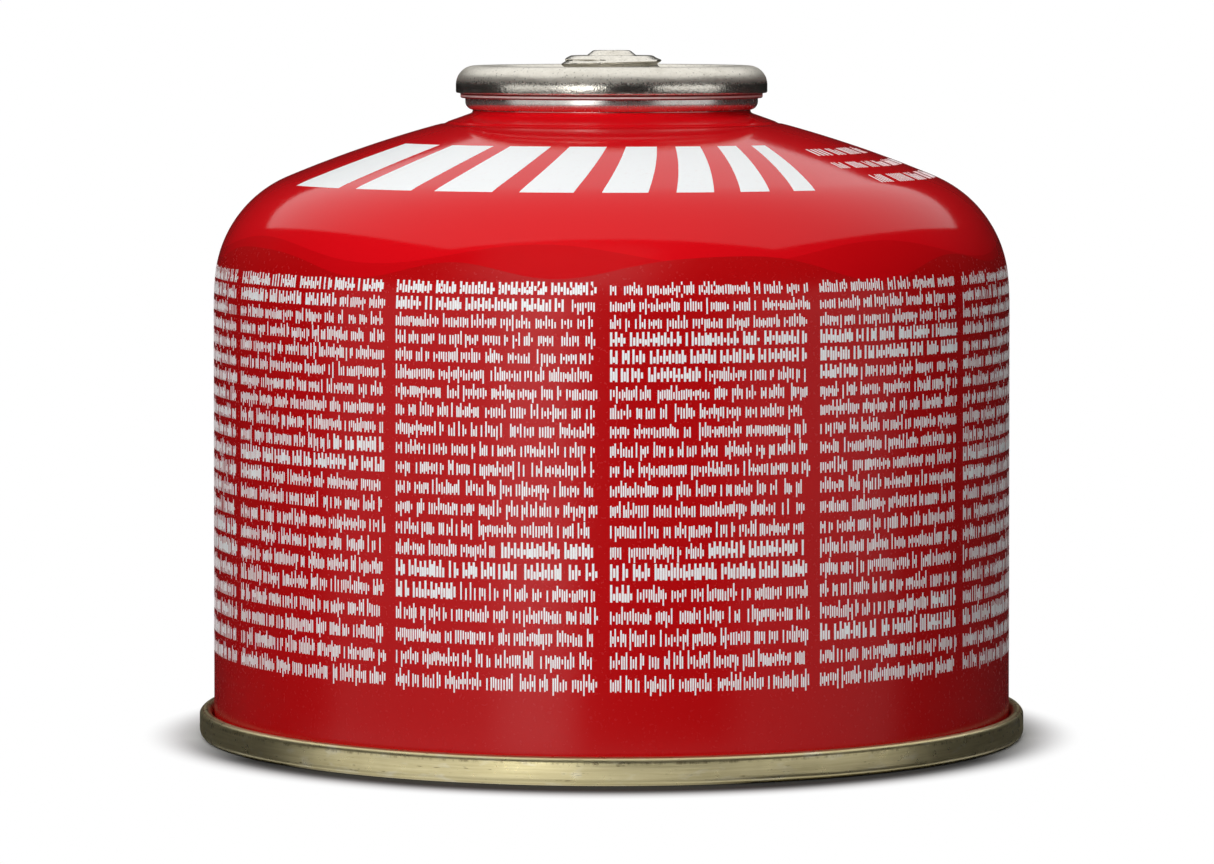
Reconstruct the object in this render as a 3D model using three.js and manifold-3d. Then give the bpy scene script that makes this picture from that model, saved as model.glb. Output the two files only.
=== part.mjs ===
// A camping-gas canister with a screw valve, standing on its base seam.
// The drawn steel body carries a turned-out mouth curl at its neck. The valve cup is clinched into that mouth
// over a sealing ring, and its middle rises as the threaded post that a stove screws onto. The concave base end
// is rolled onto the body's flange as a double seam, which is the foot that the canister stands on.
// The canister is sealed, so body and contents are one solid inside the valve cup and the base end.
// Lengths are in millimetres. +Z is up, and the origin is the middle of the foot's underside.

import * as THREE from "three";
import { mergeVertices } from "three/addons/utils/BufferGeometryUtils.js";
import Module from "manifold-3d";

// Body: the drawn wall and the domed shoulder
const bodyRadius = 43.4; // outside of the wall, just above the base seam
const wallDraft = 0.15; // the wall is this much narrower at its top
const wallHeight = 43.7; // from the top of the base seam to where the shoulder begins
const bodySheet = 0.3;
const haunchRadius = 37; // the slow first bend of the shoulder
const haunchTurn = 5.3; // degrees
const shoulderRadius = 12.9; // the tight bend of the shoulder
const domeSlope = 22.7; // degrees from level where the shoulder bend ends
const domeTopSlope = 15; // degrees from level at the crease
const creaseRadius = 18.2; // the fine pressed line round the foot of the neck
const neckSlope = 19.6; // degrees from level between the crease and the neck

// Mouth: the neck and the curl that the valve cup is clinched over
const neckRadius = 15.1;
const neckGroove = 0.25; // height of the groove between the neck and the curl
const curlOverhang = 0.8; // how far the curl stands out past the neck
const curlHeight = 3.83;
const curlFootBend = 0.9;
const curlTopBend = 1.1;
const mouthInset = 2.35; // from the neck's outside in to the mouth's edge

// Base end and its double seam
const endSheet = 0.42;
const seamHeight = 3;
const seamPlay = 0.1; // between the rolled layers of the seam
const seamGroove = 0.26; // the dark gap between the wall and the seam
const endHookLength = 1.5;
const bodyHookLength = 1.65;
const footBend = 0.6; // on the middle of the sheet
const countersinkDepth = 4.4; // from the foot up to where the domed panel begins
const countersinkBend = 1;
const panelRise = 6; // height of the concave panel's dome

// Valve cup, its post and its thread
const cupSheet = 0.4;
const cupPlay = 0.15; // between the cup's wall and the mouth
const rimBend = 1.8; // on the middle of the sheet
const skirtDrop = 2.95; // from the rim's top to the skirt's edge
const wellDepth = 8.3; // from the rim's top to the floor of the well
const wellBend = 1.1;
const clinchDepth = 5.9; // from the rim's top to the widest part of the clinch
const clinchSpread = 0.9; // how far the clinch presses the cup's wall outwards
const clinchHalfHeight = 1.15;
const pocketPlay = 0.6; // between the clinch or the well's floor and the sealed contents
const postHeight = 9.4; // from the floor of the well to the post's shoulder
const threadRadius = 5.48; // 7/16 inch thread, over its crests
const threadPitch = 25.4 / 28;
const threadDepth = 0.5;
const threadFootGap = 2.8; // from the floor of the well to the first crest
const threadHeadGap = 0.4; // from the last crest to the post's shoulder
const threadTurns = 7.1;
const threadStart = 168.75; // degrees round from +X where the thread begins
const nippleHeight = 0.55;
const nippleFootRadius = 2.62;
const nippleTopRadius = 1.92;
const valveHoleRadius = 1.3;

// Seals and the valve inside the post
const sealThickness = 0.42; // the ring between the mouth curl and the cup's rim
const sealPlay = 0.1;
const sealInset = 0.5; // from the mouth's edge out to the ring's inner edge
const sealShow = 0.36; // how far the ring shows below the skirt
const corePlay = 0.1; // between the post's bore and what fills it
const stemSealThickness = 1.5;
const stemRadius = 0.85;
const stemSealPlay = 0.2; // between the stem and its seal
const stemSink = 0.45; // the stem's tip lies this far below the seal's face

// How finely round shapes are faceted
const bodySides = 44;
const valveSides = 32;
const threadSides = 16;
const coreSides = 16;
const foldFacet = 45; // degrees of bend for each facet of a small fold
const rimFacet = 30; // degrees for each facet of a fold that shows
const shoulderFacet = 9; // degrees for each facet of the shoulder
const panelFacets = 4;

const radians = THREE.MathUtils.degToRad;
const point = (radius, height) => new THREE.Vector2(radius, height);

// The points of an outline given by its corners, each [radius, height] or [radius, height, bend radius].
// A bend is an arc that touches both sides of its corner, and a fourth number sets the degrees of its facets.
function rounded(corners) {
  const points = [];
  corners.forEach(([radius, height, bend = 0, facet = foldFacet], i) => {
    const corner = point(radius, height);
    if (!bend) {
      points.push(corner);
      return;
    }
    const back = point(...corners[i - 1]).sub(corner);
    const ahead = point(...corners[i + 1]).sub(corner);
    const turn = Math.PI - Math.acos(back.dot(ahead) / (back.length() * ahead.length()));
    const reach = bend * Math.tan(turn / 2);
    const side = Math.sign(back.cross(ahead));
    const start = corner.clone().addScaledVector(back.normalize(), reach);
    const inward = point(-back.y, back.x).multiplyScalar(side);
    const centre = start.clone().addScaledVector(inward, bend);
    const steps = Math.max(2, Math.round(THREE.MathUtils.radToDeg(turn) / facet));
    for (let k = 0; k <= steps; k++) {
      const arm = inward.clone().multiplyScalar(-bend);
      points.push(arm.rotateAround(point(0, 0), (-side * turn * k) / steps).add(centre));
    }
  });
  return points;
}

// The points that lie the same distance to the left of a line of points, as one walks along it.
function beside(points, distance) {
  const last = points.length - 1;
  return points.map((p, i) => {
    const before = i > 0 ? p.clone().sub(points[i - 1]).normalize() : null;
    const after = i < last ? points[i + 1].clone().sub(p).normalize() : null;
    const one = before ?? after;
    const other = after ?? before;
    const normal = point(-one.y - other.y, one.x + other.x).normalize();
    const stretch = normal.dot(point(-one.y, one.x));
    return p.clone().addScaledVector(normal, distance / stretch);
  });
}

// The closed outline of a sheet of even thickness along its middle line.
const sheetAlong = (middle, thickness) => [
  ...beside(middle, thickness / 2),
  ...beside(middle, -thickness / 2).reverse(),
];

// A solid turned about Z from a closed outline, or from one that starts and ends on the axis.
function turned(outline, sides) {
  const next = (i) => outline[(i + 1) % outline.length];
  const area = outline.reduce((sum, p, i) => sum + p.cross(next(i)), 0);
  const profile = area > 0 ? [...outline] : [...outline].reverse();
  profile.push(profile[0]);
  return new THREE.LatheGeometry(profile, sides).rotateX(Math.PI / 2);
}

// Base end: middle line of the sheet from the tip of its hook, over the seam's top, down the outside,
// under the foot, up the countersink wall and across the domed panel to the axis.
const seamRadius = bodyRadius + seamGroove + 2 * endSheet + bodySheet + 2 * seamPlay;
const seamWallLine = seamRadius - endSheet / 2;
const endHookLine = bodyRadius + seamGroove + endSheet / 2;
const countersinkLine = bodyRadius - bodySheet - seamPlay - endSheet / 2;
const seamTopLine = seamHeight - endSheet / 2;
const footLine = endSheet / 2;
const seamTopBend = (seamWallLine - endHookLine) / 2 - 0.01;
const panelTop = countersinkDepth + panelRise;
const panelRadius = (countersinkLine ** 2 + panelRise ** 2) / (2 * panelRise);
const panelHalfAngle = Math.asin(countersinkLine / panelRadius);

function panelPoint(share) {
  const angle = panelHalfAngle * share;
  return [panelRadius * Math.sin(angle), panelTop - panelRadius * (1 - Math.cos(angle))];
}
const panelCorners = Array.from({ length: panelFacets }, (_, i) => panelPoint(1 - (i + 1) / panelFacets));

const endLine = rounded([
  [endHookLine, seamTopLine - endHookLength],
  [endHookLine, seamTopLine, seamTopBend],
  [seamWallLine, seamTopLine, seamTopBend],
  [seamWallLine, footLine, footBend],
  [countersinkLine, footLine, footBend],
  [countersinkLine, countersinkDepth, countersinkBend],
  ...panelCorners,
]);

// Shoulder: three arcs that touch each other, from the upright wall to the crease, then the straight neck cone.
const wallTop = seamHeight + wallHeight;

function arcUp(start, fromSlope, toSlope, radius, stepDegrees) {
  const steps = Math.max(2, Math.round((fromSlope - toSlope) / stepDegrees));
  return Array.from({ length: steps }, (_, k) => {
    const slope = radians(fromSlope + ((toSlope - fromSlope) * (k + 1)) / steps);
    const from = radians(fromSlope);
    return point(
      start.x - radius * (Math.sin(from) - Math.sin(slope)),
      start.y + radius * (Math.cos(slope) - Math.cos(from)),
    );
  });
}
const lastOf = (points) => points[points.length - 1];

const shoulderStart = point(bodyRadius - wallDraft, wallTop);
const haunchSlope = 90 - haunchTurn;
const haunch = arcUp(shoulderStart, 90, haunchSlope, haunchRadius, shoulderFacet);
const bend = arcUp(lastOf(haunch), haunchSlope, domeSlope, shoulderRadius, shoulderFacet);
const domeReach = lastOf(bend).x - creaseRadius;
const domeRadius = domeReach / (Math.sin(radians(domeSlope)) - Math.sin(radians(domeTopSlope)));
const dome = arcUp(lastOf(bend), domeSlope, domeTopSlope, domeRadius, shoulderFacet / 3);
const neckFoot = lastOf(dome).y + (creaseRadius - neckRadius) * Math.tan(radians(neckSlope));

// Mouth
const curlBottom = neckFoot + neckGroove;
const curlTop = curlBottom + curlHeight;
const curlRadius = neckRadius + curlOverhang;
const mouthRadius = neckRadius - mouthInset;

// Valve cup: middle line of the sheet from the skirt's edge, over the rim, down the wall and its clinch,
// across the well, up the post and over the nipple to the edge of the valve's hole.
const sealStack = sealThickness + 2 * sealPlay;
const rimTop = curlTop + sealStack + cupSheet;
const rimLine = rimTop - cupSheet / 2;
const skirtLine = curlRadius + sealStack + cupSheet / 2;
const skirtEdge = rimTop - skirtDrop;
const cupWallLine = mouthRadius - cupPlay - cupSheet / 2;
const clinchHeight = rimTop - clinchDepth;
const wellFloor = rimTop - wellDepth;
const wellLine = wellFloor - cupSheet / 2;
const postRadius = threadRadius - threadDepth;
const postLine = postRadius - cupSheet / 2;
const postTop = wellFloor + postHeight;
const postTopLine = postTop - cupSheet / 2;
const postBend = cupSheet * 1.2;
const nippleTopLine = postTopLine + nippleHeight;

const cupLine = rounded([
  [skirtLine, skirtEdge],
  [skirtLine, rimLine, rimBend, rimFacet],
  [cupWallLine, rimLine, rimBend * 0.75, rimFacet],
  [cupWallLine, clinchHeight + clinchHalfHeight],
  [cupWallLine + clinchSpread, clinchHeight, clinchSpread, rimFacet],
  [cupWallLine, clinchHeight - clinchHalfHeight],
  [cupWallLine, wellLine, wellBend],
  [postLine, wellLine, wellBend / 2],
  [postLine, postTopLine, postBend],
  [nippleFootRadius, postTopLine],
  [nippleTopRadius, nippleTopLine],
  [valveHoleRadius, nippleTopLine],
]);

// Body: outside from the mouth down to the hook in the seam, then inside along the base end and the cup's pocket.
const footInside = endSheet + seamPlay; // underside of the rolled flange
const flangeTop = footInside + bodySheet;
const hookOuter = seamRadius - endSheet - seamPlay;
const hookInner = hookOuter - bodySheet;
const hookBend = bodySheet;

const bodyHook = rounded([
  [bodyRadius, seamHeight],
  [bodyRadius, flangeTop],
  [hookInner, flangeTop],
  [hookInner, footInside + bodyHookLength],
  [hookOuter, footInside + bodyHookLength],
  [hookOuter, footInside, hookBend],
  [bodyRadius - bodySheet, footInside, hookBend],
  [bodyRadius - bodySheet, seamHeight],
]);
const chuckLine = endLine.filter((p) => p.x <= countersinkLine + 1e-6 && p.y > seamHeight / 2);
const bodyUnderside = beside(chuckLine, -(endSheet / 2 + seamPlay));

// The pocket round the clinched cup, under the curl, is as wide as the inside of the neck.
const clinchRadius = cupWallLine + clinchSpread + cupSheet / 2;
const pocketRadius = Math.min(clinchRadius + pocketPlay, neckRadius - bodySheet);
const pocketFloor = wellLine - cupSheet / 2 - pocketPlay;
const pocketRoof = curlBottom + bodySheet;

const mouth = rounded([
  [mouthRadius, pocketRoof],
  [mouthRadius, curlTop, curlTopBend],
  [curlRadius, curlTop, curlTopBend],
  [curlRadius, curlBottom, curlFootBend, rimFacet],
  [neckRadius, curlBottom],
  [neckRadius, neckFoot],
]);

const bodyOutline = [
  point(0, pocketFloor),
  point(pocketRadius, pocketFloor),
  point(pocketRadius, pocketRoof),
  ...mouth,
  ...[...haunch, ...bend, ...dome].reverse(),
  shoulderStart,
  ...bodyHook.slice(0, -1),
  ...bodyUnderside,
  point(0, panelTop + endSheet / 2 + seamPlay),
];

// Sealing ring: lies on the curl's top and outer side, inside the cup's rim, and shows as a thin line below it.
const sealTopLine = curlTop + sealPlay + sealThickness / 2;
const sealSideLine = curlRadius + sealPlay + sealThickness / 2;
const sealLine = rounded([
  [mouthRadius + curlTopBend + sealInset, sealTopLine],
  [sealSideLine, sealTopLine, curlTopBend + sealPlay + sealThickness / 2],
  [sealSideLine, skirtEdge - sealShow],
]);

// Valve in the post: a rubber washer under the post's shoulder, and the closed core below it.
const boreRadius = postRadius - cupSheet - corePlay;
const stemSealTop = postTop - cupSheet - corePlay;
const stemSealFoot = stemSealTop - stemSealThickness;
const stemSealOutline = rounded([
  [stemRadius + stemSealPlay, stemSealFoot],
  [boreRadius, stemSealFoot],
  [boreRadius, stemSealTop, postBend],
  [stemRadius + stemSealPlay, stemSealTop],
]);
const coreTop = stemSealFoot - corePlay;
const coreOutline = [
  point(0, wellFloor - cupSheet),
  point(boreRadius, wellFloor - cupSheet),
  point(boreRadius, coreTop),
  point(stemRadius, coreTop),
  point(stemRadius, stemSealTop - stemSink),
  point(0, stemSealTop - stemSink),
];

// Thread: a ridge wound up the post, whose crest sinks into the post at both ends and levels out at the top.
function threadRidge() {
  const steps = Math.round(threadTurns * threadSides);
  const first = wellFloor + threadFootGap;
  const last = postTop - threadHeadGap;
  const rootHalf = threadPitch * 0.46;
  const crestHalf = threadPitch * 0.14;
  const sunk = postRadius - cupSheet / 2;
  const runOut = threadSides / 4;
  const positions = [];
  for (let i = 0; i <= steps; i++) {
    const angle = radians(threadStart) + (2 * Math.PI * i) / threadSides;
    const height = Math.min(first + (threadPitch * i) / threadSides, last);
    const fade = Math.min(1, i / runOut, (steps - i) / runOut);
    const crest = THREE.MathUtils.lerp(sunk + cupSheet / 4, threadRadius, fade);
    const section = [
      [sunk, height - rootHalf],
      [crest, height - crestHalf],
      [crest, height + crestHalf],
      [sunk, Math.min(height + rootHalf, last + crestHalf * 1.5)],
    ];
    for (const [radius, z] of section) {
      positions.push(radius * Math.cos(angle), radius * Math.sin(angle), z);
    }
  }
  const index = [0, 1, 2, 0, 2, 3];
  for (let i = 0; i < steps; i++) {
    for (let side = 0; side < 4; side++) {
      const a = 4 * i + side;
      const b = 4 * i + ((side + 1) % 4);
      index.push(a, a + 4, b, b, a + 4, b + 4);
    }
  }
  const end = 4 * steps;
  index.push(end, end + 2, end + 1, end, end + 3, end + 2);
  const ridge = new THREE.BufferGeometry();
  ridge.setAttribute("position", new THREE.Float32BufferAttribute(positions, 3));
  return ridge.setIndex(index);
}

const wasm = await Module();
wasm.setup();

function solidOf(geometry) {
  const bare = geometry.clone();
  bare.deleteAttribute("normal");
  bare.deleteAttribute("uv");
  const merged = mergeVertices(bare, 1e-4);
  const vertProperties = merged.attributes.position.array;
  const triVerts = new Uint32Array(merged.index.array);
  return new wasm.Manifold(new wasm.Mesh({ numProp: 3, vertProperties, triVerts }));
}

function geometryOf(solid) {
  const { vertProperties, triVerts, numProp } = solid.getMesh();
  const geometry = new THREE.BufferGeometry();
  const positions = new Float32Array((vertProperties.length / numProp) * 3);
  for (let i = 0; i < positions.length; i++) {
    positions[i] = vertProperties[Math.floor(i / 3) * numProp + (i % 3)];
  }
  geometry.setAttribute("position", new THREE.BufferAttribute(positions, 3));
  geometry.setIndex(new THREE.BufferAttribute(triVerts, 1));
  const shaded = geometry.toNonIndexed();
  shaded.computeVertexNormals();
  return shaded;
}

const cupSolid = solidOf(turned(sheetAlong(cupLine, cupSheet), valveSides));
const threadedCup = geometryOf(cupSolid.add(solidOf(threadRidge())));

// Finishes
const redLacquer = new THREE.MeshStandardMaterial({ color: 0xb5121a, roughness: 0.3, metalness: 0 });
const goldLacquer = new THREE.MeshStandardMaterial({ color: 0xa8a07a, roughness: 0.35, metalness: 1 });
const tinplate = new THREE.MeshStandardMaterial({ color: 0xc9c4b8, roughness: 0.3, metalness: 1 });
const greySeal = new THREE.MeshStandardMaterial({ color: 0xb4b4ae, roughness: 0.6, metalness: 0 });
const blackRubber = new THREE.MeshStandardMaterial({ color: 0x1a1a1a, roughness: 0.8, metalness: 0 });
const whitePlastic = new THREE.MeshStandardMaterial({ color: 0xdedbd0, roughness: 0.5, metalness: 0 });

function piece(name, geometry, material) {
  const mesh = new THREE.Mesh(geometry, material);
  mesh.name = name;
  return mesh;
}

const canister = new THREE.Group();
canister.add(
  piece("can_body", turned(bodyOutline, bodySides), redLacquer),
  piece("base_end", turned(sheetAlong(endLine, endSheet), bodySides), goldLacquer),
  piece("cup_seal", turned(sheetAlong(sealLine, sealThickness), valveSides), greySeal),
  piece("valve_cup", threadedCup, tinplate),
  piece("stem_seal", turned(stemSealOutline, coreSides), blackRubber),
  piece("valve_core", turned(coreOutline, coreSides), whitePlastic),
);

export default canister;
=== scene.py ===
# %% [markdown]
# # A small gas canister with a screw valve
#
# The real canister is pressed steel: a drawn body, a base end that is rolled on, and a valve cup that is crimped
# into the mouth. Everything is round, so nearly every piece here is a profile turned about the Z axis. It could be
# built from primitives and modifiers too, but a profile in numbers keeps each fine surface in step with the CAD
# node that it stands for. Lengths are written in millimetres and become metres when a mesh is made.

import math

import bpy
import numpy as np
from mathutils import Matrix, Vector


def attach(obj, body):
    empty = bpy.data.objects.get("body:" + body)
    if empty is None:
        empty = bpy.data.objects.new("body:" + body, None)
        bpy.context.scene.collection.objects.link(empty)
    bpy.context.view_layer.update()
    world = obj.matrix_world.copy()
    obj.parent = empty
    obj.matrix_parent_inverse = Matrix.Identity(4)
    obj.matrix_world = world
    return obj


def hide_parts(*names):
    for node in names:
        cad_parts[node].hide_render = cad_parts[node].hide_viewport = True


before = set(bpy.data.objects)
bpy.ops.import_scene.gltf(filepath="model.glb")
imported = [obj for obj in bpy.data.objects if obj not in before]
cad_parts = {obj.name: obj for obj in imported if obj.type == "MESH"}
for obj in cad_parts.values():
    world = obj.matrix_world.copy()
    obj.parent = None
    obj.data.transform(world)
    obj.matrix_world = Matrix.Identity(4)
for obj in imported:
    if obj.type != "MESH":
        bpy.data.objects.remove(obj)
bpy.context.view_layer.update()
MM = 0.001

# %% [markdown]
# ## Camera
#
# The photograph was taken with a long lens, from 640 mm in front of the axis and 81 mm above the table. The camera
# looks down by a little over four degrees, which puts the canister in the middle of the frame. A shorter lens from
# nearer would fill the frame as well, but only this distance and height show the rim almost edge-on and the base
# seam as a shallow arc, as they are in the photograph.

# %% Camera
camera_data = bpy.data.cameras.new("camera")
camera_data.sensor_width = 36
camera_data.lens = 174.4
camera_data.clip_start = 0.01
camera = bpy.data.objects.new("camera", camera_data)
camera.location = (-0.0005, -0.640, 0.08103)
camera.rotation_euler = (math.radians(90 - 4.3), 0, 0)
bpy.context.collection.objects.link(camera)
bpy.context.scene.camera = camera
print("lens", camera_data.lens, "mm")

# %% [markdown]
# ## Profiles
#
# A profile is a list of points (radius, height). Pressed sheet has no sharp corners: each one is a bend that
# touches both of its sides. Drawing every arc by hand would be slow and would leave kinks, so a corner is given
# by its point and its bend radius, and `rounded` works out the arc.


# %% Bends
def rounded(corners, step=6.0):
    """Points along a line of corners (radius, height, bend).

    A bend of radius b at a corner that turns by t starts b * tan(t / 2) before the corner and is cut into
    arcs of at most `step` degrees.
    """
    points = []
    for i, corner in enumerate(corners):
        p = np.array(corner[:2], float)
        bend_radius = corner[2] if len(corner) > 2 else 0
        if not bend_radius:
            points.append(p)
            continue
        back = np.array(corners[i - 1][:2], float) - p
        ahead = np.array(corners[i + 1][:2], float) - p
        back /= np.linalg.norm(back)
        ahead /= np.linalg.norm(ahead)
        turn = math.pi - math.acos(np.clip(back @ ahead, -1, 1))
        hand = np.sign(back[0] * ahead[1] - back[1] * ahead[0])
        start = p + back * bend_radius * math.tan(turn / 2)
        inward = hand * np.array([-back[1], back[0]])
        centre = start + inward * bend_radius
        steps = max(2, math.ceil(math.degrees(turn) / step))
        arm_r, arm_z = -inward * bend_radius
        for a in -hand * turn * np.arange(steps + 1) / steps:
            cos_a, sin_a = math.cos(a), math.sin(a)
            points.append(centre + [arm_r * cos_a - arm_z * sin_a, arm_r * sin_a + arm_z * cos_a])
    return np.array(points)


def arc_up(start, from_slope, to_slope, radius, steps):
    """Points of an arc of `radius` that leaves `start` at one slope from level and ends at a lower one.

    Where the slope is a, a point lies radius * (sin(first slope) - sin(a)) nearer to the axis than the start, and
    radius * (cos(a) - cos(first slope)) above it.
    """
    a0 = math.radians(from_slope)
    a = np.radians(np.linspace(from_slope, to_slope, steps + 1)[1:])
    r = start[0] - radius * (math.sin(a0) - np.sin(a))
    z = start[1] + radius * (np.cos(a) - math.cos(a0))
    return np.stack([r, z], axis=1)


def densified(points, longest):
    """The same line with no stretch longer than `longest`: each stretch is cut into equal parts."""
    out = []
    for a, b in zip(points[:-1], points[1:]):
        n = max(1, math.ceil(np.linalg.norm(b - a) / longest))
        out.extend(a + (b - a) * k / n for k in range(n))
    out.append(points[-1])
    return np.array(out)


print("a square corner with a bend of 1 mm gets", len(rounded([(0, 0), (5, 0, 1), (5, 5)])) - 2, "points")

# %% [markdown]
# ### Sheets
#
# The base end and the valve cup are each one folded sheet. Such a sheet could be a surface with a Solidify
# modifier, but its folds almost touch, and the modifier pinches in tight bends. So the middle line is shifted by
# half the thickness to both sides, and the two lines close into one outline with softened edges.

# %% Sheets
EDGE_SOFTNESS = 0.4
CHAMFER_BULGE = 0.3


def beside(points, distance):
    """The line at `distance` to the left: each point moves along the mean of its two sides' normals."""
    d = np.diff(points, axis=0)
    d /= np.linalg.norm(d, axis=1, keepdims=True)
    n = np.stack([-d[:, 1], d[:, 0]], axis=1)
    first = np.vstack([n[:1], n])
    second = np.vstack([n, n[-1:]])
    mean = first + second
    mean /= np.linalg.norm(mean, axis=1, keepdims=True)
    return points + mean * (distance / np.sum(mean * first, axis=1))[:, None]


def eased_edge(a, b, inner_a, inner_b, soft):
    """Six points round a cut edge from a to b: each corner is replaced by three points of a small round."""
    u = (inner_a - a) / np.linalg.norm(inner_a - a)
    v = (inner_b - b) / np.linalg.norm(inner_b - b)
    w = (b - a) / np.linalg.norm(b - a)
    near_a = [a + u * soft, a + CHAMFER_BULGE * soft * (u + w), a + w * soft]
    near_b = [b - w * soft, b + CHAMFER_BULGE * soft * (v - w), b + v * soft]
    return near_a + near_b


def sheet(middle, thickness):
    """Closed outline of a sheet along its middle line, with both cut edges softened."""
    left = beside(middle, thickness / 2)
    right = beside(middle, -thickness / 2)
    soft = thickness * EDGE_SOFTNESS
    start = eased_edge(right[0], left[0], right[1], left[1], soft)
    end = eased_edge(left[-1], right[-1], left[-2], right[-2], soft)
    return np.vstack([start, left[1:-1], end, right[1:-1][::-1]])


print("sheet tools ready")

# %% [markdown]
# ### Turning a profile
#
# A lathe could be Blender's Spin or its Screw modifier. Here the whole grid of vertices is one numpy array, so a
# thread or a tool mark is only a change of its radii, and the mesh is closed from the start.

# %% Meshes
SHARP_ANGLE = math.radians(40)


def make_mesh(name, vertices, faces, material, smooth=True):
    """A mesh object from vertices in millimetres and faces that all have the same number of corners."""
    faces = np.asarray(faces, dtype=np.int32)
    corners = faces.shape[1]
    mesh = bpy.data.meshes.new(name)
    mesh.vertices.add(len(vertices))
    mesh.vertices.foreach_set("co", (np.asarray(vertices, np.float32) * MM).ravel())
    mesh.loops.add(faces.size)
    mesh.loops.foreach_set("vertex_index", faces.ravel())
    mesh.polygons.add(len(faces))
    mesh.polygons.foreach_set("loop_start", np.arange(0, faces.size, corners, dtype=np.int32))
    mesh.polygons.foreach_set("loop_total", np.full(len(faces), corners, np.int32))
    mesh.polygons.foreach_set("use_smooth", np.full(len(faces), smooth))
    mesh.update(calc_edges=True)
    mesh.validate()
    if smooth:
        mesh.set_sharp_from_angle(angle=SHARP_ANGLE)
    mesh.materials.append(material)
    piece = bpy.data.objects.new(name, mesh)
    bpy.context.collection.objects.link(piece)
    return piece


def turned(name, outline, sides, material, shape=None):
    """A solid of revolution from a closed outline that stays off the axis.

    Vertex (i, j) is outline point i turned by j steps. `shape` may move the radii and heights of the grid. The
    outline is reversed if needed, so that it runs anticlockwise and the faces point out.
    """
    x, y = outline[:, 0], outline[:, 1]
    if np.sum(x * np.roll(y, -1) - np.roll(x, -1) * y) < 0:
        outline = outline[::-1]
    n = len(outline)
    angle = 2 * np.pi * np.arange(sides) / sides
    r = np.repeat(outline[:, :1], sides, axis=1)
    z = np.repeat(outline[:, 1:], sides, axis=1)
    if shape:
        r, z = shape(r, z, angle[None, :])
    vertices = np.stack([r * np.cos(angle), r * np.sin(angle), z], axis=2).reshape(-1, 3)
    i, j = np.meshgrid(np.arange(n), np.arange(sides), indexing="ij")
    k, m = (i + 1) % n, (j + 1) % sides
    faces = np.stack([i * sides + j, i * sides + m, k * sides + m, k * sides + j], axis=2).reshape(-1, 4)
    return make_mesh(name, vertices, faces, material)


print("mesh tools ready")

# %% [markdown]
# ## Sizes
#
# These are the CAD model's own values, in millimetres. Slopes are in degrees from level. The shoulder leaves the
# wall as a long flat arc, the haunch, goes round a tight bend and runs up a shallow dome to the crease.

# %% Sizes
BODY_R, SEAM_H, SEAM_R = 43.4, 3.0, 45.0
BODY_SHEET, END_SHEET, CUP_SHEET = 0.3, 0.42, 0.4
SEAM_PLAY = 0.1
WALL_H, WALL_TAPER = 43.7, 0.15
CREASE_R, NECK_R = 18.2, 15.1
HAUNCH_RADIUS, BEND_RADIUS = 37, 12.9
BEND_START, BEND_END, DOME_END, NECK_SLOPE = 84.7, 22.7, 15, 19.6
CURL_CLEAR, CURL_H, CURL_OUT, CURL_IN = 0.25, 3.83, 0.8, 2.35
CUP_OVER_CURL = 0.62
SKIRT_H, WELL_DEPTH, POST_H = 2.95, 8.3, 9.4

shoulder_start = np.array([BODY_R - WALL_TAPER, SEAM_H + WALL_H])
haunch = arc_up(shoulder_start, 90, BEND_START, HAUNCH_RADIUS, 4)
bend = arc_up(haunch[-1], BEND_START, BEND_END, BEND_RADIUS, 28)
sine_span = math.sin(math.radians(BEND_END)) - math.sin(math.radians(DOME_END))
dome = arc_up(bend[-1], BEND_END, DOME_END, (bend[-1][0] - CREASE_R) / sine_span, 16)
neck_foot = dome[-1][1] + (CREASE_R - NECK_R) * math.tan(math.radians(NECK_SLOPE))
curl_bottom = neck_foot + CURL_CLEAR
curl_top = curl_bottom + CURL_H
curl_r = NECK_R + CURL_OUT
mouth_r = NECK_R - CURL_IN
rim_top = curl_top + CUP_OVER_CURL + CUP_SHEET
skirt_edge = rim_top - SKIRT_H
well_floor = rim_top - WELL_DEPTH
post_top = well_floor + POST_H
print("rim top", round(rim_top, 3), "post top", round(post_top, 3), "neck foot", round(neck_foot, 3))

# %% [markdown]
# ## Materials
#
# Every surface is procedural and reads the object's own coordinates, so nothing has to be unwrapped. A node graph
# written out node by node is long, and `Nodes` keeps it to one line for each step.


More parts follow.
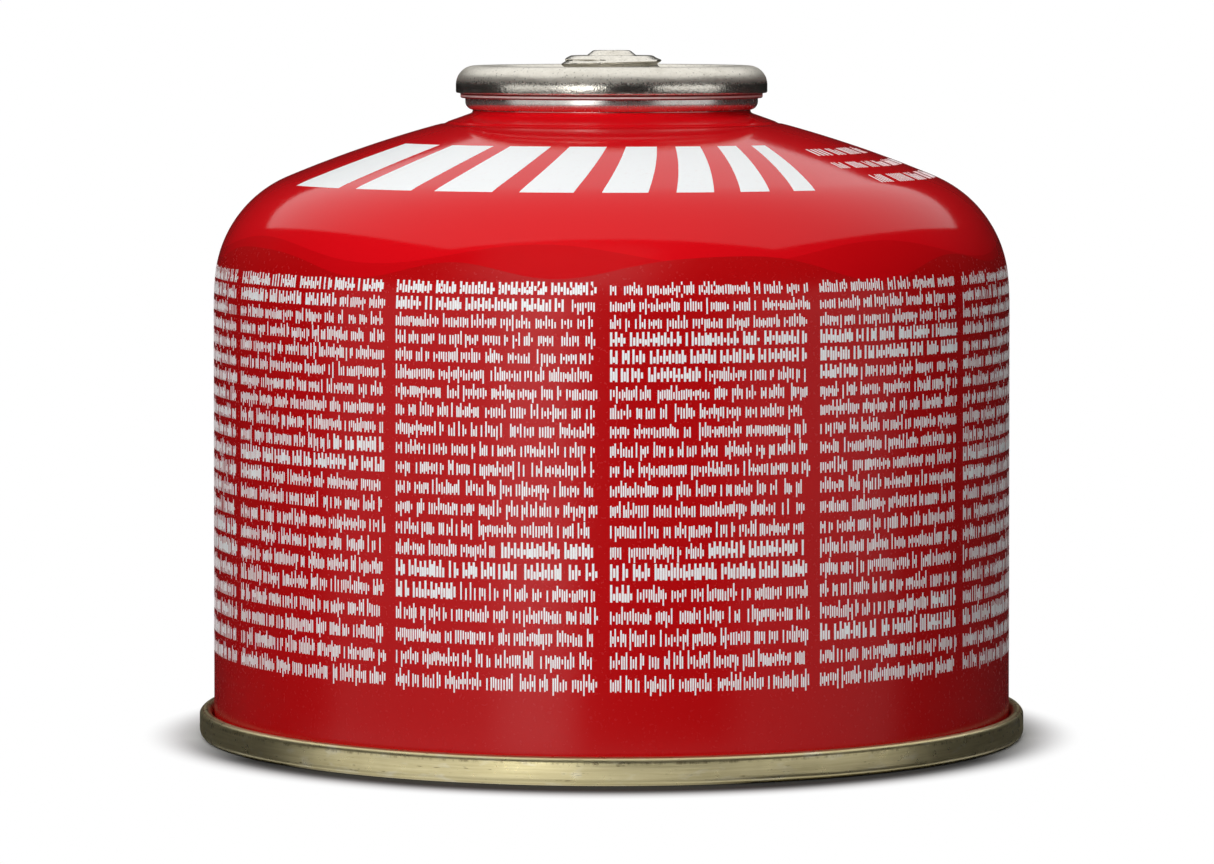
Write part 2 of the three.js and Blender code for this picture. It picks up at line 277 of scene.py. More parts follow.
# %% Material tools
class Nodes:
    """Adds nodes to a material and links them: a value that is a socket is linked, and any other is set."""

    def __init__(self, name):
        self.material = bpy.data.materials.new(name)
        self.material.use_nodes = True
        self.tree = self.material.node_tree
        self.shader = self.tree.nodes["Principled BSDF"]
        self.coords = self.tree.nodes.new("ShaderNodeTexCoord").outputs["Object"]

    def put(self, socket, value):
        if isinstance(value, bpy.types.NodeSocket):
            self.tree.links.new(value, socket)
        else:
            socket.default_value = value

    def add(self, kind, inputs=(), output=0, **settings):
        node = self.tree.nodes.new(kind)
        for key, value in settings.items():
            setattr(node, key, value)
        for key, value in dict(inputs).items():
            self.put(node.inputs[key], value)
        return node.outputs[output]

    def math(self, operation, a, b=0.0, c=0.0):
        return self.add("ShaderNodeMath", {0: a, 1: b, 2: c}, operation=operation)

    def times(self, a, b):
        return self.math("MULTIPLY", a, b)

    def xyz(self):
        node = self.tree.nodes.new("ShaderNodeSeparateXYZ")
        self.tree.links.new(self.coords, node.inputs[0])
        return node.outputs

    def around(self):
        """The angle round the axis, from -pi to pi."""
        x, y, _ = self.xyz()
        return self.math("ARCTAN2", y, x)

    def distance(self, x, y):
        """The root of the sum of the squares."""
        return self.math("SQRT", self.math("ADD", self.times(x, x), self.times(y, y)))

    def scaled(self, x, y, z):
        return self.add("ShaderNodeMapping", {"Vector": self.coords, "Scale": (x, y, z)})

    def noise(self, scale, detail=3.0, vector=None, roughness=0.5):
        inputs = {"Vector": vector or self.coords, "Scale": scale, "Detail": detail, "Roughness": roughness}
        return self.add("ShaderNodeTexNoise", inputs)

    def ramp(self, value, low, high, to_low=0.0, to_high=1.0, kind="LINEAR"):
        inputs = {0: value, 1: low, 2: high, 3: to_low, 4: to_high}
        return self.add("ShaderNodeMapRange", inputs, interpolation_type=kind)

    def between(self, value, low, high, soft):
        """One inside the span from low to high, zero outside it, with soft edges."""
        up = self.ramp(value, low - soft, low + soft)
        down = self.ramp(value, high - soft, high + soft, 1.0, 0.0)
        return self.times(up, down)

    def mix(self, factor, a, b):
        node = self.tree.nodes.new("ShaderNodeMix")
        node.data_type = "RGBA"
        self.put(node.inputs["Factor"], factor)
        self.put(node.inputs["A"], a)
        self.put(node.inputs["B"], b)
        return node.outputs["Result"]

    def over(self, base, mask, share, colour):
        """The base with a share of another colour laid over it where the mask is one."""
        return self.mix(self.times(mask, share), base, colour)

    def bump(self, height, strength, distance):
        return self.add("ShaderNodeBump", {"Height": height, "Strength": strength, "Distance": distance})

    def finish(self, **inputs):
        for key, value in inputs.items():
            self.put(self.shader.inputs[key.replace("_", " ")], value)
        return self.material


def rgb(r, g, b):
    return (r, g, b, 1.0)


print("material tools ready")

# %% [markdown]
# ### Red lacquer
#
# The shoulder is bright red, and below a soft rolling border the wall is printed in a deeper red with less gloss.
# A texture painted by hand could carry the border, but a sum of sines of the angle needs no image and closes on
# itself at the back. A fainter border of a shade between the two lies a little above it. The mouth curl stays bare
# tin, tinted red towards its lower part along a ragged line.

# %% Red lacquer
BORDER_WAVES = ((9, 0.9, 0.4), (5, 0.7, 2.1), (14, 0.35, 4.0))  # times round, height in mm, phase
BORDER_Z, FAR_BORDER_Z = 52.65, 54.0

nodes = Nodes("red_lacquer")
z = nodes.xyz()[2]
angle = nodes.around()
wave = 0.0
for times, size, phase in BORDER_WAVES:
    turn = nodes.math("MULTIPLY_ADD", angle, float(times), phase)
    wave = nodes.math("ADD", nodes.times(nodes.math("SINE", turn), size * MM), wave)
far_wave = nodes.times(nodes.math("SINE", nodes.math("MULTIPLY_ADD", angle, 7.0, 1.2)), 1.1 * MM)
below = nodes.ramp(nodes.math("SUBTRACT", z, wave), (BORDER_Z + 0.1) * MM, BORDER_Z * MM)
far = nodes.ramp(nodes.math("SUBTRACT", z, far_wave), (FAR_BORDER_Z + 0.1) * MM, FAR_BORDER_Z * MM)
cloud = nodes.noise(55.0, 3.0)
bright = nodes.mix(cloud, rgb(0.68, 0.0025, 0.006), rgb(0.72, 0.004, 0.009))
deep = nodes.mix(cloud, rgb(0.44, 0.0012, 0.0022), rgb(0.50, 0.002, 0.0035))
red = nodes.mix(below, nodes.mix(far, bright, nodes.mix(0.45, bright, deep)), deep)

bare = nodes.ramp(z, (curl_bottom - 0.02) * MM, (curl_bottom + 0.05) * MM)
tin = nodes.mix(nodes.noise(900.0, 3.0), rgb(0.66, 0.64, 0.60), rgb(0.92, 0.90, 0.85))
# The curl's tin turns half red towards its lower edge, along a ragged line.
ragged_z = nodes.math("MULTIPLY_ADD", nodes.noise(1300.0, 4.0), -0.9 * MM, z)
lower_red_tint = nodes.ramp(ragged_z, (curl_bottom + 0.5) * MM, (curl_bottom - 0.5) * MM)
tin = nodes.over(tin, lower_red_tint, 0.5, rgb(0.66, 0.10, 0.10))

gloss = nodes.ramp(nodes.noise(2600.0, 2.0), 0.3, 0.7, 0.07, 0.12)
gloss = nodes.math("MULTIPLY_ADD", below, 0.16, gloss)
orange_peel = nodes.math("ADD", nodes.times(nodes.noise(1700.0, 2.0), 0.5), nodes.times(cloud, 1.5))
red_lacquer = nodes.finish(
    Base_Color=nodes.mix(bare, red, tin),
    Metallic=nodes.times(bare, 0.88),
    Roughness=nodes.math("MULTIPLY_ADD", bare, 0.16, gloss),
    IOR=1.5,
    Specular_IOR_Level=0.3,
    Normal=nodes.bump(orange_peel, 0.12, 0.00004),
)
print("red lacquer:", len(nodes.tree.nodes), "nodes")

# %% [markdown]
# ### Tinplate
#
# The valve cup is bare tinplate. Drawing it over the rim's bend has dulled the tin there, while the skirt stays
# bright and mirrors the lights as strips. One roughness for the whole cup would lose that, so the dullness follows
# the height, and a fine noise breaks up the line between the two. Small dark specks and a faint stain keep the
# metal from looking new.

# %% Tinplate
nodes = Nodes("tinplate")
z = nodes.xyz()[2]
grain = nodes.noise(1500.0, 5.0, roughness=0.7)
speck = nodes.ramp(nodes.noise(4200.0, 2.0), 0.64, 0.72)
stain = nodes.ramp(nodes.noise(330.0, 5.0, nodes.scaled(1.0, 1.0, 2.2), roughness=0.7), 0.5, 0.72)
metal = nodes.mix(grain, rgb(0.70, 0.66, 0.57), rgb(0.98, 0.945, 0.85))
metal = nodes.over(metal, stain, 0.28, rgb(0.40, 0.35, 0.27))
metal = nodes.over(metal, speck, 0.7, rgb(0.10, 0.08, 0.06))

fine = nodes.noise(5200.0, 2.0, roughness=0.6)
broken_z = nodes.math("MULTIPLY_ADD", nodes.math("SUBTRACT", fine, 0.5), 1.0 * MM, z)
dull = nodes.ramp(broken_z, (rim_top - 2.15) * MM, (rim_top - 1.35) * MM, kind="SMOOTHSTEP")
dull = nodes.math("MAXIMUM", dull, nodes.ramp(fine, 0.6, 0.72, 0.0, 0.45))
dull = nodes.times(dull, nodes.ramp(z, (rim_top - 0.1) * MM, (rim_top + 0.3) * MM, 1.0, 0.25))
polish = nodes.ramp(nodes.noise(260.0, 3.0), 0.3, 0.7, 0.12, 0.2)
relief = nodes.math("ADD", nodes.times(nodes.noise(3600.0, 3.0), 0.6), grain)
tinplate = nodes.finish(
    Base_Color=metal,
    Metallic=nodes.ramp(dull, 0.0, 1.0, 0.98, 0.84),
    Roughness=nodes.math("MULTIPLY_ADD", dull, 0.22, polish),
    Normal=nodes.bump(relief, 0.75, 0.00004),
)
print("tinplate:", len(nodes.tree.nodes), "nodes")

# %% [markdown]
# ### Gold lacquer
#
# The base end is tinplate under a clear gold lacquer. The seam roller has drawn it into streaks round the seam,
# so one noise is squeezed along Z. An image of the streaks would meet itself somewhere round the seam, and a noise
# in space does not. Fine rings lie on the seam's flat ledge, the edge below it is worn in places, and there are
# pale rubbed patches and a few brown scratches.

# %% Gold lacquer
RING_PITCH = 0.42

nodes = Nodes("gold_lacquer")
x, y, z = nodes.xyz()
streak = nodes.noise(120.0, 5.0, nodes.scaled(1.0, 1.0, 30.0), roughness=0.65)
fleck = nodes.noise(900.0, 4.0)
rub = nodes.ramp(nodes.noise(420.0, 4.0, nodes.scaled(1.0, 1.0, 2.5)), 0.58, 0.72)
scratch = nodes.ramp(nodes.noise(700.0, 2.0, nodes.scaled(1.0, 1.0, 6.0)), 0.68, 0.74)
worn = nodes.ramp(nodes.noise(1100.0, 6.0, nodes.scaled(1.0, 1.0, 0.4), roughness=0.75), 0.48, 0.62)
rings = nodes.math("SINE", nodes.times(nodes.distance(x, y), 2 * math.pi / (RING_PITCH * MM)))
ledge = nodes.between(z, 2.55 * MM, 3.1 * MM, 0.05 * MM)
edge = nodes.between(z, 2.25 * MM, 2.5 * MM, 0.08 * MM)

gold = nodes.mix(streak, rgb(0.46, 0.39, 0.18), rgb(0.86, 0.77, 0.47))
gold = nodes.over(gold, rub, 0.3, rgb(0.88, 0.86, 0.76))
gold = nodes.over(gold, ledge, nodes.ramp(rings, -0.1, 0.8, 0.0, 0.75), rgb(0.36, 0.19, 0.09))
gold = nodes.over(gold, nodes.times(edge, worn), 0.6, rgb(0.12, 0.08, 0.035))
gold = nodes.over(gold, scratch, 0.6, rgb(0.13, 0.09, 0.04))
relief = nodes.math("ADD", nodes.times(streak, 0.7), nodes.times(fleck, 0.3))
gold_lacquer = nodes.finish(
    Base_Color=gold,
    Metallic=0.92,
    Roughness=nodes.ramp(fleck, 0.3, 0.7, 0.26, 0.36),
    Normal=nodes.bump(relief, 0.35, 0.00006),
)
print("gold lacquer:", len(nodes.tree.nodes), "nodes")

# %% [markdown]
# ### White ink
#
# The print is a thin white film with less gloss than the lacquer. It could be made partly transparent where it is
# worn, but an opaque white that a fine noise greys a little looks the same from this distance and is simpler.

# %% White ink
nodes = Nodes("white_ink")
wear = nodes.noise(1800.0, 4.0, roughness=0.7)
cover = nodes.ramp(wear, 0.25, 0.45)
white_ink = nodes.finish(
    Base_Color=nodes.mix(cover, rgb(0.84, 0.83, 0.83), rgb(0.88, 0.90, 0.905)),
    Roughness=nodes.ramp(wear, 0.3, 0.7, 0.34, 0.46),
    IOR=1.5,
    Normal=nodes.bump(wear, 0.15, 0.00002),
)
print("white ink ready")

# %% [markdown]
# ### Seals and valve plastic
#
# The sealing ring under the cup's skirt shows as three thin lines: dark red, pale, dark red. They could be three
# pieces, but bands of height in one material keep the ring whole. The rubber seal and the valve's plastic lie deep
# in the post and are nearly plain.

# %% Seals and valve plastic
nodes = Nodes("grey_seal")
z = nodes.xyz()[2]
grain = nodes.noise(2200.0, 3.0)
strip = nodes.between(z, (skirt_edge - 0.40) * MM, (skirt_edge - 0.2) * MM, 0.02 * MM)
pale = nodes.mix(grain, rgb(0.62, 0.60, 0.57), rgb(0.82, 0.80, 0.77))
grey_seal = nodes.finish(
    Base_Color=nodes.mix(strip, rgb(0.16, 0.004, 0.004), pale),
    Roughness=nodes.ramp(grain, 0.3, 0.7, 0.35, 0.5),
    Normal=nodes.bump(grain, 0.2, 0.00003),
)

nodes = Nodes("black_rubber")
grain = nodes.noise(3000.0, 3.0)
black_rubber = nodes.finish(
    Base_Color=nodes.mix(grain, rgb(0.012, 0.012, 0.012), rgb(0.03, 0.03, 0.03)),
    Roughness=nodes.ramp(grain, 0.3, 0.7, 0.6, 0.75),
    Normal=nodes.bump(grain, 0.3, 0.00003),
)

nodes = Nodes("valve_plastic")
grain = nodes.noise(2500.0, 3.0)
valve_plastic = nodes.finish(
    Base_Color=nodes.mix(grain, rgb(0.58, 0.56, 0.50), rgb(0.70, 0.68, 0.62)),
    Roughness=nodes.ramp(grain, 0.3, 0.7, 0.40, 0.5),
    Normal=nodes.bump(grain, 0.15, 0.00003),
)
print("materials ready")

# %% [markdown]
# ## Body
#
# The real body is one sheet, drawn deep and necked in. Its outside runs up the wall, over the shoulder and the
# dome to the crease, where a pressed line 0.09 mm deep goes round, and on to the neck and the mouth curl. The
# canister is sealed, so the piece is filled: its inside follows the base end and the cup with a little play.

# %% Body outside
CREASE_SLOPE, CREASE_DEPTH, CREASE_IN = 17, 0.09, 0.4

crease_line = np.array(
    [[CREASE_R + 0.45, 0.0], [CREASE_R + 0.1, -CREASE_DEPTH], [CREASE_R - 0.1, -0.06], [CREASE_R - CREASE_IN, 0.0]]
)
crease_line[:, 1] += dome[-1][1] + (CREASE_R - crease_line[:, 0]) * math.tan(math.radians(CREASE_SLOPE))
shoulder = np.vstack([[shoulder_start], haunch, bend, dome[:-1], crease_line])
neck_start = (CREASE_R - CREASE_IN, dome[-1][1] + CREASE_IN * math.tan(math.radians(NECK_SLOPE)))
neck_fillet = rounded([neck_start, (NECK_R, neck_foot, 0.35), (NECK_R, curl_bottom + 0.5)])
curl = rounded(
    [
        (NECK_R, curl_bottom + 0.05),
        (curl_r, curl_bottom, 0.9),
        (curl_r, curl_top, 1.1),
        (mouth_r, curl_top, 1.1),
        (mouth_r, curl_bottom + 0.3),
    ],
    step=9,
)
wall = densified(np.array([[BODY_R, SEAM_H + 1.0], shoulder_start]), 3.0)[::-1]
print("shoulder", len(shoulder), "points, curl", len(curl), "points")

# %% [markdown]
# ### The body's hook in the seam
#
# In a double seam the body's edge is turned out and up, and the base end's edge is folded round it. The hook is
# hidden, but the body's filled underside has to clear the base end's panel, so both are drawn here.

# %% Body hook and underside
PANEL_RISE, PANEL_FOOT = 6.0, 4.4
HOOK_H = 1.65

foot_inside = END_SHEET + SEAM_PLAY
hook_outer = SEAM_R - END_SHEET - SEAM_PLAY
hook_inner = hook_outer - BODY_SHEET
chuck_r = BODY_R - BODY_SHEET
hook = rounded(
    [
        (BODY_R, SEAM_H + 1.0),
        (BODY_R, foot_inside + BODY_SHEET),
        (hook_inner, foot_inside + BODY_SHEET),
        (hook_inner, foot_inside + HOOK_H),
        (hook_outer, foot_inside + HOOK_H),
        (hook_outer, foot_inside, 0.3),
        (chuck_r, foot_inside, 0.3),
        (chuck_r, PANEL_FOOT + 0.2),
    ],
    step=15,
)
countersink_r = chuck_r - SEAM_PLAY - END_SHEET / 2
panel_radius = (countersink_r**2 + PANEL_RISE**2) / (2 * PANEL_RISE)


def panel(count, shift):
    """Points of the domed panel from near its rim to near the axis, shifted up by `shift`.

    The panel is part of a sphere of radius s: at radius r it lies s - root(s * s - r * r) below its middle.
    """
    r = np.linspace(countersink_r - 2.0, 0.02, count)
    drop = panel_radius - np.sqrt(panel_radius**2 - r**2)
    return np.stack([r, PANEL_FOOT + PANEL_RISE - drop + shift], axis=1)


print("panel sphere radius", round(panel_radius, 1), "mm")

# %% [markdown]
# ### The body as one piece
#
# The outline starts at the underside, goes up through the pocket that the valve cup hangs in, over the curl and
# down the outside to the hook. The wall, the dome and the curl could be separate pieces, but one outline leaves no
# seam between them. 256 sides keep the silhouette smooth.

# %% Body surface
ROUND_SIDES = 256
POCKET_R = 14.1

pocket_floor = well_floor - CUP_SHEET - 0.6
pocket = np.array([(0.02, pocket_floor), (POCKET_R, pocket_floor), (POCKET_R, curl_bottom + 0.3)])
underside = panel(12, END_SHEET / 2 + SEAM_PLAY)
outside = [curl[::-1], neck_fillet[::-1][1:], shoulder[::-1], wall[1:], hook[1:]]
can_body = turned("can_body_fine", np.vstack([underside, pocket] + outside), ROUND_SIDES, red_lacquer)
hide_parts("can_body")
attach(can_body, "root")
print("body", len(can_body.data.polygons), "faces")

# %% [markdown]
# ## Base end
#
# The sheet's middle line starts at the tip of its hook, folds over the seam's top, comes down the outside, rolls
# under the foot and rises to the domed panel. Drawing it as a sheet keeps the folds at one thickness, which a
# turned block with grooves would not.

# %% Base end surface
HOOK_CLEAR, END_HOOK_H = 0.26, 1.5

seam_wall = SEAM_R - END_SHEET / 2
hook_line = BODY_R + HOOK_CLEAR + END_SHEET / 2
top_line = SEAM_H - END_SHEET / 2
top_bend = (seam_wall - hook_line) / 2 - 0.01
end_line = rounded(
    [
        (hook_line, top_line - END_HOOK_H),
        (hook_line, top_line, top_bend),
        (seam_wall, top_line, top_bend),
        (seam_wall, END_SHEET / 2, 0.6),
        (countersink_r, END_SHEET / 2, 0.6),
        (countersink_r, PANEL_FOOT, 1.0),
        tuple(panel(3, 0)[0]),
    ],
    step=10,
)
end_line = np.vstack([end_line[:-1], panel(26, 0)])


def rolled(r, z, angle):
    """The seam roller leaves the seam's wall slightly wavy: two sines of the angle, up to 0.02 mm in all.

    The wall is set back by 0.02 mm first, so that no wave stands out past the seam's radius.
    """
    on_wall = np.clip((r - 44.0) / 0.6, 0, 1) * np.clip((z - 0.3) / 0.5, 0, 1)
    wave = 0.012 * np.sin(23 * angle + 1.0) + 0.008 * np.sin(41 * angle)
    return r - on_wall * (0.02 + wave), z


base_end = turned("base_end_fine", sheet(end_line, END_SHEET), ROUND_SIDES, gold_lacquer, rolled)
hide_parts("base_end")
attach(base_end, "root")
print("base end", len(base_end.data.polygons), "faces")

# %% [markdown]
# ## Valve cup
#
# One folded sheet makes the rim, the skirt, the wall that is clinched out under the mouth curl, the well and the
# post with its nipple. The real one is drawn and bent from one blank, so it is one line here too, and not a rim, a
# well and a post put together. The line is cut finely along the post, where the thread comes, and coarsely
# elsewhere.

# %% Valve cup line
THREAD_STEP, PLAIN_STEP = 0.075, 1.2
POST_R, CUP_PLAY = 4.98, 0.15
CLINCH_DEPTH, CLINCH_HALF, CLINCH_BULGE = 5.9, 1.15, 0.9
NIPPLE_H, NIPPLE_FOOT_R, NIPPLE_R, HOLE_R = 0.55, 2.62, 1.92, 1.3

rim_line = rim_top - CUP_SHEET / 2
skirt_line = curl_r + CUP_OVER_CURL + CUP_SHEET / 2
cup_wall = mouth_r - CUP_PLAY - CUP_SHEET / 2
well_line = well_floor - CUP_SHEET / 2
post_line = POST_R - CUP_SHEET / 2
post_top_line = post_top - CUP_SHEET / 2
clinch = rim_top - CLINCH_DEPTH
cup_line = rounded(
    [
        (skirt_line, skirt_edge),
        (skirt_line, rim_line, 1.85),
        (cup_wall, rim_line, 1.35),
        (cup_wall, clinch + CLINCH_HALF, 0.8),
        (cup_wall + CLINCH_BULGE, clinch, 0.9),
        (cup_wall, clinch - CLINCH_HALF, 0.8),
        (cup_wall, well_line, 1.0),
        (post_line, well_line, 0.55),
        (post_line, post_top_line, 0.55),
        (NIPPLE_FOOT_R, post_top_line, 0.25),
        (NIPPLE_R, post_top_line + NIPPLE_H, 0.3),
        (HOLE_R, post_top_line + NIPPLE_H),
    ],
    step=9,
)
on_post = np.abs(cup_line[:, 0] - post_line) < 0.01
stretches = []
for k in range(len(cup_line) - 1):
    longest = THREAD_STEP if on_post[k] and on_post[k + 1] else PLAIN_STEP
    stretches.append(densified(cup_line[k : k + 2], longest)[:-1])
cup_line = np.vstack(stretches + [cup_line[-1:]])
print("valve cup line", len(cup_line), "points")

# %% [markdown]
# ### Thread and clinch marks
#
# The thread is rolled into the post, right-handed, 28 turns to the inch. A curve swept as a helix would have to
# be joined to the post. Here the ridge is part of the post's radius: the phase is the height above a helix that
# climbs one pitch each turn, and the ridge is a raised cosine of the phase. The clinching tool's eight jaws leave
# upright marks in the cup's wall.

# %% Valve cup surface
CUP_SIDES = 176
PITCH, THREAD_R = 25.4 / 28, 5.46
CREST_AT_LEFT, THREAD_END, HEAD_Z = 72.96, 73.9, 73.56
LIFT_FROM, LIFT_OVER = 4.64, 0.3  # the lift grows from none at this radius to all of it over this distance
CLINCH_JAWS, CLINCH_MARK = 8, 0.22


def threaded(r, z, angle):
    """Lifts the post's outside by the ridge and pulls the clinched wall in between the tool's jaws.

    The lift is the thread's depth times the larger of two things: the ridge, which fades in above the well and out
    below the post's top, and a bell curve round the height of the post's head. The wall goes in by the mark's depth
    times one minus the fourth root of the size of the sine of four times the angle.
    """
    outside_post = np.clip((r - LIFT_FROM) / LIFT_OVER, 0, 1) * (r < POST_R + 0.06) * (z > well_floor + 1)
    crest = CREST_AT_LEFT + PITCH * (angle / (2 * np.pi) - 0.5)
    phase = (z - crest) / PITCH
    ridge = (0.5 + 0.5 * np.cos(2 * np.pi * phase)) ** 1.15
    fade_in = np.clip((z - well_floor - 1.6) / 1.0, 0, 1)
    fade_out = np.clip((THREAD_END - z) / 0.3, 0, 1)
    head = 0.42 * np.exp(-(((z - HEAD_Z) / 0.17) ** 2))
    lift = outside_post * (THREAD_R - POST_R) * np.maximum(ridge * fade_in * fade_out, head)
    near_clinch = np.clip(1 - np.abs(z - clinch) / 1.2, 0, 1) * (r > cup_wall - 0.3) * (r < cup_wall + 1.3)
    under_jaw = np.abs(np.sin(CLINCH_JAWS / 2 * angle)) ** 0.25
    return r + lift - near_clinch * CLINCH_MARK * (1 - under_jaw), z


valve_cup = turned("valve_cup_fine", sheet(cup_line, CUP_SHEET), CUP_SIDES, tinplate, threaded)
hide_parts("valve_cup")
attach(valve_cup, "root")
print("valve cup", len(valve_cup.data.polygons), "faces")

# %% [markdown]
# ## Sealing ring
#
# A ring of soft plastic lies between the cup and the mouth curl, and its lower edge shows below the skirt. A plain
# hoop would do for what shows, but a bent sheet lies round the curl as the real ring does.

# %% Sealing ring
RING_SHEET, RING_PLAY, RING_SHOWS = 0.42, 0.1, 0.56

seal_top = curl_top + RING_PLAY + RING_SHEET / 2
seal_side = curl_r + RING_PLAY + RING_SHEET / 2
seal_line = rounded(
    [(mouth_r + 1.6, seal_top), (seal_side, seal_top, 1.41), (seal_side, skirt_edge - RING_SHOWS)], step=12
)
cup_seal = turned("cup_seal_fine", sheet(seal_line, RING_SHEET), 160, grey_seal)
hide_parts("cup_seal")
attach(cup_seal, "root")
print("sealing ring", len(cup_seal.data.polygons), "faces")

# %% [markdown]
# ## Stem seal and valve core
#
# Through the hole in the nipple one sees a rubber seal and the top of the valve. Two cylinders would do at this
# size, but turned outlines give them their small bends and the hollow that the stove's pin meets. Both clear the
# post by 0.1 mm.

# %% Stem seal and valve core
INNER_PLAY = 0.1

bore = POST_R - CUP_SHEET - INNER_PLAY
stem_top = post_top - CUP_SHEET - INNER_PLAY
seal_outline = rounded(
    [(1.05, stem_top - 1.5), (bore, stem_top - 1.5), (bore, stem_top, 0.48), (1.05, stem_top)], step=15
)
stem_seal = turned("stem_seal_fine", seal_outline, 96, black_rubber)
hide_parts("stem_seal")
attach(stem_seal, "root")

core_outline = rounded(
    [
        (0.02, well_floor - CUP_SHEET),
        (bore, well_floor - CUP_SHEET, 0.2),
        (bore, stem_top - 1.6, 0.2),
        (0.85, stem_top - 1.6),
        (0.85, stem_top - 0.45, 0.15),
        (0.35, stem_top - 0.45, 0.08),
        (0.35, stem_top - 1.0),
        (0.02, stem_top - 1.0),
    ],
    step=20,
)
valve_core = turned("valve_core_fine", core_outline, 64, valve_plastic)
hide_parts("valve_core")
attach(valve_core, "root")
print("seal", len(stem_seal.data.polygons), "faces, core", len(valve_core.data.polygons), "faces")

# %% [markdown]
# ## Print
#
# The white print is a film of ink, 0.015 mm proud of the lacquer. An image mapped on the body would need no
# geometry, but real slabs stay sharp at any distance. A patch of film has four corners, each an angle and a
# distance along the body's outside, and is cut finely enough to follow the shape.

# %% Print tools
side = np.vstack([[[BODY_R, SEAM_H]], shoulder])
run = np.concatenate([[0], np.cumsum(np.linalg.norm(np.diff(side, axis=0), axis=1))]) + SEAM_H
SLOPE_REACH = 0.05


def on_side(distance):
    """Radius, height and outward normal at a distance along the body's outside, counted from the foot.

    The normal is a short step along the outside, made one long and turned by a right angle.
    """
    r = np.interp(distance, run, side[:, 0])
    z = np.interp(distance, run, side[:, 1])
    above, under = distance + SLOPE_REACH, distance - SLOPE_REACH
    ahead_r = np.interp(above, run, side[:, 0]) - np.interp(under, run, side[:, 0])
    ahead_z = np.interp(above, run, side[:, 1]) - np.interp(under, run, side[:, 1])
    size = np.hypot(ahead_r, ahead_z)
    return r, z, ahead_z / size, -ahead_r / size


def film(name, patches, cuts_round, cuts_up, lift=0.015, sink=0.03):
    """Closed slabs of ink. Each patch is (left low, right low, right high, left high) as (degrees, distance).

    A point of a patch is the blend of its corners, first from left to right and then from low to high. The outer
    layer stands `lift` above the lacquer and the inner one `sink` below it, and a wall joins their borders.
    """
    patches = np.asarray(patches, float)
    u = np.linspace(0, 1, cuts_round + 1)[None, None, :, None]
    v = np.linspace(0, 1, cuts_up + 1)[None, :, None, None]
    low = patches[:, 0, None, None] * (1 - u) + patches[:, 1, None, None] * u
    high = patches[:, 3, None, None] * (1 - u) + patches[:, 2, None, None] * u
    grid = low * (1 - v) + high * v
    angle = np.radians(grid[..., 0] - 90)
    r, z, nr, nz = on_side(grid[..., 1])
    layers = []
    for shift in (lift, -sink):
        rr, zz = r + nr * shift, z + nz * shift
        layers.append(np.stack([rr * np.cos(angle), rr * np.sin(angle), zz], axis=-1))
    count, rows, columns = grid.shape[:3]
    one = rows * columns
    vertices = np.stack(layers, axis=1).reshape(-1, 3)
    index = np.arange(one).reshape(rows, columns)
    a, b, c, d = index[:-1, :-1], index[:-1, 1:], index[1:, 1:], index[1:, :-1]
    top = np.stack([a, b, c, d], axis=-1).reshape(-1, 4)
    bottom = top[:, ::-1] + one
    ring = np.concatenate([index[0, :-1], index[:-1, -1], index[-1, :0:-1], index[:0:-1, 0]])
    after = np.roll(ring, -1)
    walls = np.stack([ring, ring + one, after + one, after], axis=-1)
    faces = np.vstack([top, bottom, walls])
    faces = (faces[None] + (np.arange(count) * 2 * one)[:, None, None]).reshape(-1, 4)
    return make_mesh(name, vertices, faces, white_ink, smooth=False)


print("length along the outside", round(float(run[-1]), 2), "mm")

# %% [markdown]
# ### Small print
#
# From a normal distance small print is a grey texture, and this one is left unreadable: each line is a row of
# upright strokes of random height, grouped as words. Twelve columns go round the wall. The lines lie closer
# together at the top than at the bottom, and a few stretches are bolder.

# %% Small print layout
ROWS, TOP_ROW, BOTTOM_ROW = 21, 50.9, 9.5
COLUMN_GAP = 1.5  # in degrees, as the angles are
# Angles of the middles of the gaps between columns: those of the side that shows, then even ones round the back.
gap_middles = np.concatenate([[-65.9, -31.6, -1.0, 28.9], np.linspace(58.0, 360 - 65.9, 9)])
row_gap = np.linspace(1.70, 2.36, ROWS - 1)
row_foot = TOP_ROW - np.concatenate([[0], np.cumsum(row_gap)])
row_foot = row_foot - (row_foot[-1] - BOTTOM_ROW)
BOLD = ((0.0, 1.7), (2.9, 5.2), (9.6, 11.1), (14.4, 16.1), (17.5, 18.6))  # from row to row
BOLD_RUN = 23.4  # mm of a line that count as one row
SHORT_LAST_LINE, SHORTENED_TO = (6, 9), 0.6  # columns, share of the width
print(len(gap_middles) - 1, "columns of", ROWS, "rows")

# %% [markdown]
# ### Strokes
#
# Letters of a font could fill the lines, but they might be read, so the words are made of cells of random width.
# A cell has one tall or small stroke, and most cells have a second, shorter one beside it. The seed is fixed, so
# the print comes out the same each time.

# %% Small print
TALL, SMALL, DROP = 0.81, 0.60, 0.16  # shares of the row gap
STROKE, BOLD_STROKE = 0.155, 0.23
CELL_LOW, CELL_HIGH, BOLD_CELL = 0.42, 0.62, 1.15
WORD_GAP = 0.42

rng = np.random.default_rng(7)
degrees = 180 / math.pi / BODY_R


def cell_strokes(cell, row_height, bold):
    """The one or two strokes in a cell: (offset in the cell, width, foot, head), all in millimetres."""
    tall, small = TALL * row_height, SMALL * row_height
    wide = BOLD_STROKE if bold else STROKE
    kind = rng.random()
    head = tall if (bold or kind < 0.3) else small
    drop = DROP * row_height if (not bold and rng.random() < 0.1) else 0.0
    marks = [(0.0, wide, -drop, head * rng.uniform(0.86, 1.0))]
    if rng.random() < 0.85:
        marks.append((cell * 0.5, wide, small * rng.uniform(0.0, 0.4), small * rng.uniform(0.62, 1.0)))
    return marks


